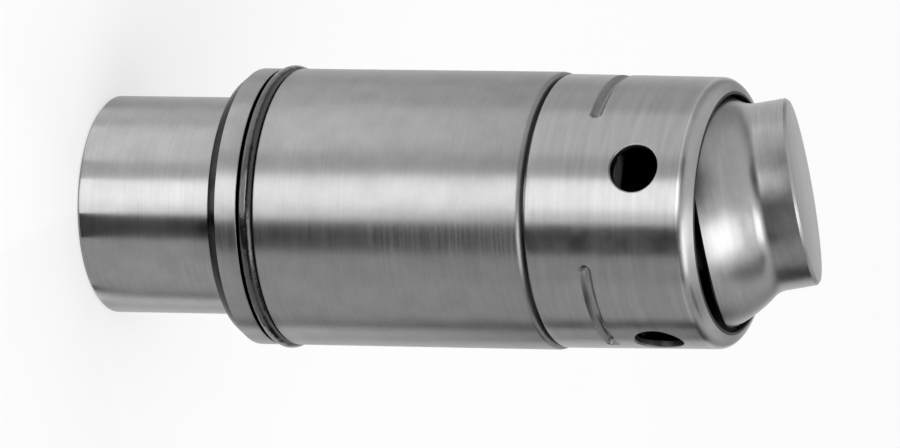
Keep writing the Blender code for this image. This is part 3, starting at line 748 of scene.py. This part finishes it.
def stage_camera():
    right, up, back, place = camera_frame()
    camera_data = bpy.data.cameras.new("camera")
    camera_data.lens = VIEW_LENS
    camera_data.sensor_width = 36.0
    camera_data.clip_start = 0.01
    camera_data.clip_end = 20.0
    camera = bpy.data.objects.new("camera", camera_data)
    camera.matrix_world = Matrix((
        (right.x, up.x, back.x, place.x),
        (right.y, up.y, back.y, place.y),
        (right.z, up.z, back.z, place.z),
        (0, 0, 0, 1)))
    bpy.context.scene.collection.objects.link(camera)
    bpy.context.scene.camera = camera


def white_paper():
    """Matt white paper of the floor. The camera and the reflections see it nearly white."""
    paper, tree, shader = new_material("white_paper_floor")
    coords = add(tree, "ShaderNodeTexCoord").outputs["Object"]
    grain = add(tree, "ShaderNodeTexNoise", {"Vector": coords, "Scale": 40.0, "Detail": 4.0})
    colour = add(tree, "ShaderNodeMix", {
        "Factor": grain.outputs["Fac"], 6: linear("#E8E8E8"), 7: linear("#ECECEC")},
        data_type="RGBA")
    tree.links.new(colour.outputs[2], shader.inputs["Base Color"])
    shader.inputs["Roughness"].default_value = 0.9
    shader.inputs["Specular IOR Level"].default_value = 0.1
    white = add(tree, "ShaderNodeEmission", {"Color": linear("#FFFFFF"), "Strength": 1.0})
    ray = add(tree, "ShaderNodeLightPath")
    seen = add(tree, "ShaderNodeMath", {
        0: ray.outputs["Is Camera Ray"], 1: ray.outputs["Is Glossy Ray"]}, operation="MAXIMUM")
    seen = add(tree, "ShaderNodeMath", {
        0: seen.outputs[0], 1: ray.outputs["Is Transmission Ray"]}, operation="MAXIMUM")
    share = add(tree, "ShaderNodeMath", {0: seen.outputs[0], 1: FLOOR_WHITE_SHARE},
                operation="MULTIPLY")
    whitened = add(tree, "ShaderNodeMixShader", {
        0: share.outputs[0], 1: shader.outputs[0], 2: white.outputs[0]})
    tree.links.new(whitened.outputs[0], tree.nodes["Material Output"].inputs["Surface"])
    return paper


def stage_floor():
    bm = bmesh.new()
    bmesh.ops.create_circle(bm, cap_ends=True, segments=96, radius=FLOOR_R)
    mesh = bpy.data.meshes.new("floor")
    bm.to_mesh(mesh)
    bm.free()
    mesh.materials.append(white_paper())
    floor = bpy.data.objects.new("floor", mesh)
    bpy.context.scene.collection.objects.link(floor)


def stage_world():
    """White studio that is darker towards the floor."""
    world = bpy.data.worlds.new("studio")
    bpy.context.scene.world = world
    world.use_nodes = True
    tree = world.node_tree
    background = tree.nodes["Background"]
    background.inputs["Color"].default_value = linear("#FFFFFF")
    sky = add(tree, "ShaderNodeTexCoord").outputs["Generated"]
    height = add(tree, "ShaderNodeSeparateXYZ", {"Vector": sky}).outputs["Z"]
    strength = add(tree, "ShaderNodeMapRange", {
        "Value": height, "From Min": 0.1, "From Max": 0.65, "To Min": 0.42, "To Max": 1.0},
        interpolation_type="SMOOTHSTEP")
    tree.links.new(strength.outputs[0], background.inputs["Strength"])


def stage_lamps_and_cards():
    """Soft boxes, and the black cards and light panels round the lifter.

    They are out of the picture, as photographers put them beside the lens. The round steel
    shows them as the dark and bright lines along it.
    """
    for name, azimuths, elevations, radiance, distance in SOFT_BOXES:
        soft_box(name, azimuths, elevations, radiance, distance)

    black, tree, shader = new_material("black_velvet_card")
    nap = add(tree, "ShaderNodeTexNoise", {"Scale": 900.0})
    colour = add(tree, "ShaderNodeMix", {
        "Factor": nap.outputs["Fac"], 6: linear("#060606"), 7: linear("#101010")},
        data_type="RGBA")
    tree.links.new(colour.outputs[2], shader.inputs["Base Color"])
    shader.inputs["Roughness"].default_value = 1.0
    shader.inputs["Specular IOR Level"].default_value = 0.0
    for i, (first, last, length) in enumerate(BLACK_CARDS):
        stage_card(f"black_card_lying_{i + 1}", black, lying_corners((first, last), length))
    for i, (azimuths, distance, heights) in enumerate(UPRIGHT_CARDS):
        stage_card(f"black_card_upright_{i + 1}", black,
                   upright_corners(azimuths, distance, heights))
    for i, (first, last, length, strength) in enumerate(LIGHT_PANELS):
        name = f"light_panel_{i + 1}"
        panel, tree, shader = new_material(name)
        shader.inputs["Base Color"].default_value = linear("#101010")
        shader.inputs["Emission Color"].default_value = linear("#FFFFFF")
        shader.inputs["Emission Strength"].default_value = strength
        stage_card(name, panel, lying_corners((first, last), length))


# Housing: hardened steel, centreless ground. A satin grey with faint lines round it, which
# stretches a reflection along the axis and leaves its edges across the axis fairly crisp.
ground_steel = turned_steel("ground_steel_housing", "#949494", "#868686", 0.34, 0.42,
                            0.12 * MM, 0.002 * MM, 0.90)
# Plunger: the same, ground finer for its close fit in the bore. A little lighter and crisper.
plunger_steel = turned_steel("ground_steel_plunger", "#999999", "#8B8B8B", 0.32, 0.38,
                             0.12 * MM, 0.002 * MM, 0.92)
hidden_plunger_steel = turned_steel("ground_steel_inner_plunger", "#A2A2A2", "#949494",
                                    0.34, 0.40, 0.12 * MM, 0.002 * MM, 0.85)
# Cap: sheet steel, deep drawn over a punch. Smoother and glossier than ground steel, with
# broad soft draw marks and hardly any depth.
cap_steel = turned_steel("drawn_sheet_steel_cap", "#909090", "#828282", 0.28, 0.36,
                         0.30 * MM, 0.0003 * MM, 0.90)
# The cap's bend was rolled in last. It takes a lighter copy of the cap's steel, a painted
# highlight that brightens the bend, with a narrow highlight.
bend_painted_highlight_steel = turned_steel("sheet_steel_bend_painted_highlight", "#A6A6A6", "#989898", 0.28, 0.36,
                          0.30 * MM, 0.0005 * MM, 0.80)
# Foot: hardened steel, turned and polished. Soft round highlights on the dome and faint
# rings round its own axis.
foot_steel = turned_steel("polished_steel_foot", "#A0A0A0", "#929292", 0.28, 0.34,
                          0.20 * MM, 0.0005 * MM, 0.0, FOOT_PLACE)
# Walls that no wheel touched after hardening: nearly black, with a dull sheen.
# This skin is also painted shade: inside the cap and in its holes, at its rim and under the foot.
dark_skin_and_painted_shade = drawn_steel("hardened_steel_skin_and_painted_shade", "#4A4A4B", "#2C2C2D", 0.36, 0.50)
# The same skin over turning marks, on the lip's chamfer and the spigot: black with a gloss
# that stays dull at a grazing view.
# This skin is also painted shade on the lip's chamfer, in the O-ring's groove and on the spigot's
# end and ball seen through the cap's holes.
turned_dark_skin_and_painted_shade = turned_steel("turned_steel_skin_and_painted_shade", "#303031", "#232324", 0.16, 0.26,
                           0.15 * MM, 0.002 * MM, 0.0)
turned_dark_skin_and_painted_shade.node_tree.nodes["Principled BSDF"].inputs["Specular Tint"].default_value = (
    linear("#CCCCCC"))
# Wire, hardened in oil: dark grey and satin.
spring_steel = drawn_steel("oil_tempered_spring_steel", "#6E6E70", "#4C4C4E", 0.30, 0.45)
# Bearing ball: lapped steel, a bright mirror.
ball_steel = drawn_steel("polished_bearing_steel", "#B4B4B4", "#A4A4A4", 0.08, 0.14)
# Cage: thin pressed sheet, light grey and a little cloudy.
cage_steel = drawn_steel("pressed_steel_cage", "#9C9C9A", "#80807E", 0.32, 0.46)

housing(ground_steel, turned_dark_skin_and_painted_shade)
outer_plunger(plunger_steel, dark_skin_and_painted_shade)
o_ring(moulded_rubber())
# The cap's bend takes steel lightened as a painted highlight
cap(cap_steel, dark_skin_and_painted_shade, bend_painted_highlight_steel)
foot(foot_steel, dark_skin_and_painted_shade)
coil_spring("return_spring", "housing", spring_steel)
coil_spring("check_ball_spring", "plunger", spring_steel)

for node, material in (("inner_plunger", hidden_plunger_steel),
                       ("plunger_retaining_ring", spring_steel),
                       ("check_ball", ball_steel),
                       ("check_ball_cage", cage_steel)):
    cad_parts[node].material_slots[0].material = material

bpy.context.scene.view_settings.view_transform = "Standard"
stage_camera()
stage_floor()
stage_world()
stage_lamps_and_cards()
